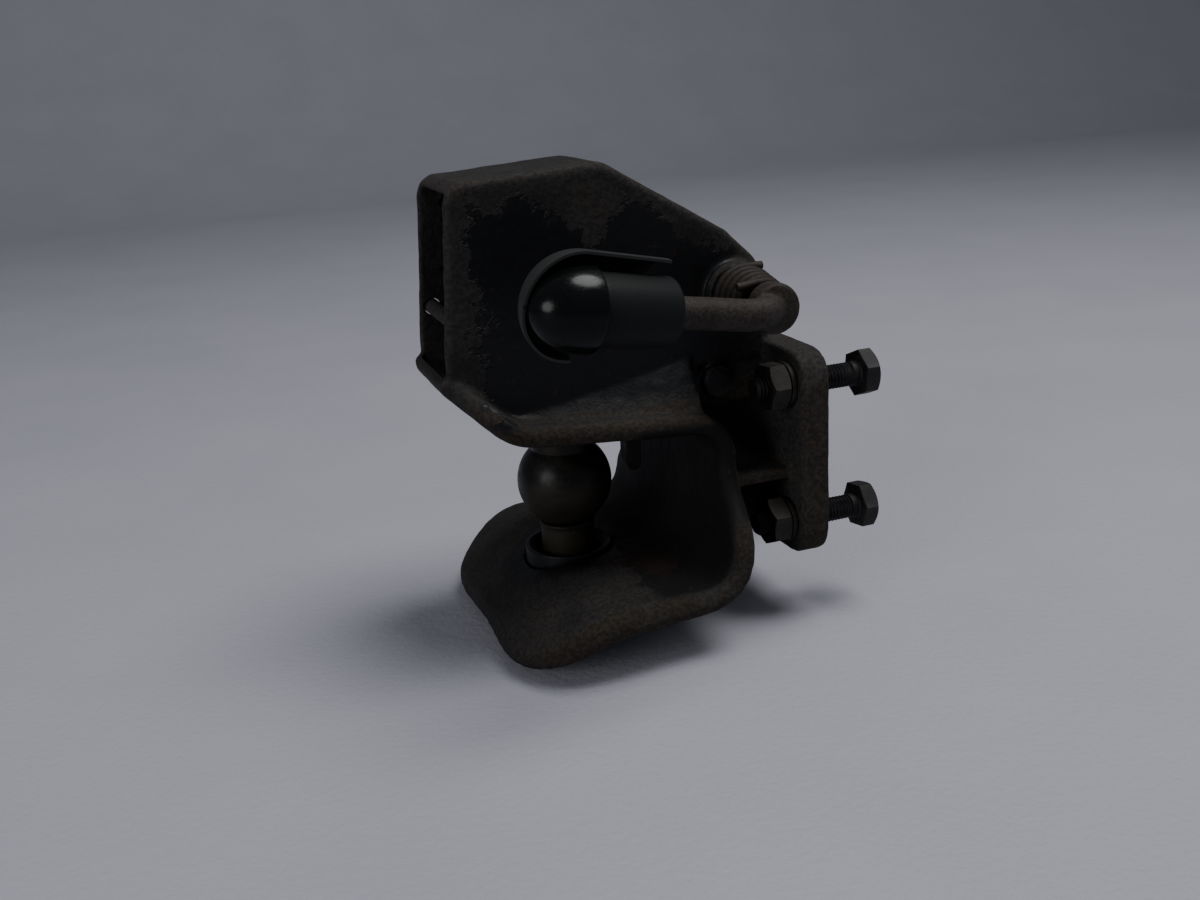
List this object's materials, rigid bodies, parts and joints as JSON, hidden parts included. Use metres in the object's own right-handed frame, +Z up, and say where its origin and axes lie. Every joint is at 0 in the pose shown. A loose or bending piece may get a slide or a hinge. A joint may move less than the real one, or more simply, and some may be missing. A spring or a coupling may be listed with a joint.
{
  "type": "automatic trailer coupling with ball pin",
  "caption": "Cast funnel-mouth trailer coupling: ball-shaped pin on a sprung swing arm, bent hand lever with plastic grip, bolted mounting plate.",
  "frame": {"origin": "centre of the mounting plate's face on the vehicle side", "axes": "+X towards the vehicle, the mouth opens to -X, +Z up along the coupling pin, the hand lever is on the -Y side"},
  "size_m": [0.1694, 0.1568, 0.1853],
  "materials": {
    "cast_iron": "worn dark paint over rough casting, oily with brown dust",
    "steel": "greasy dark machined steel",
    "spring_steel": "dull spring wire with surface rust",
    "bolt_steel": "dull zinc, slightly dusty",
    "black_plastic": "glossy black moulding"
  },
  "bodies": {
    "hitch_body": {"main_casting": "cast_iron", "pin_bush": "steel", "shaft_bush_near": "steel", "shaft_bush_far": "steel", "torsion_spring": "spring_steel", "pawl_pin": "steel", "pawl_spacer_near": "steel", "pawl_spacer_far": "steel", "pawl_spring": "spring_steel", "front_pin": "steel", "bolt_1": "bolt_steel", "nut_1": "bolt_steel", "washer_1": "bolt_steel", "bolt_2": "bolt_steel", "nut_2": "bolt_steel", "washer_2": "bolt_steel", "bolt_3": "bolt_steel", "nut_3": "bolt_steel", "washer_3": "bolt_steel", "bolt_4": "bolt_steel", "nut_4": "bolt_steel", "washer_4": "bolt_steel"},
    "lever_arm": {"hand_lever": "steel", "grip_sleeve": "black_plastic", "grip_cap": "black_plastic", "grip_shell": "black_plastic", "swing_arm": "cast_iron", "ball_pin": "steel", "latch_pin": "steel", "arm_key_pin": "steel", "ball_cross_pin": "steel", "lever_washer": "steel", "lever_split_pin": "steel"},
    "pawl": {"release_pawl": "steel"}
  },
  "joints": [
    {"name": "lever_swing", "type": "hinge", "parent": "hitch_body", "child": "lever_arm", "pos_m": [-0.025, 0, 0.062], "axis": [0, 1, 0], "range_deg": [0, 35.5], "stiffness_Nm_per_rad": 0.8, "springref_deg": -57.3},
    {"name": "pawl_trip", "type": "hinge", "parent": "hitch_body", "child": "pawl", "pos_m": [-0.056, 0, 0.027], "axis": [0, 1, 0], "range_deg": [-10, 6], "stiffness_Nm_per_rad": 0.05}
  ]
}
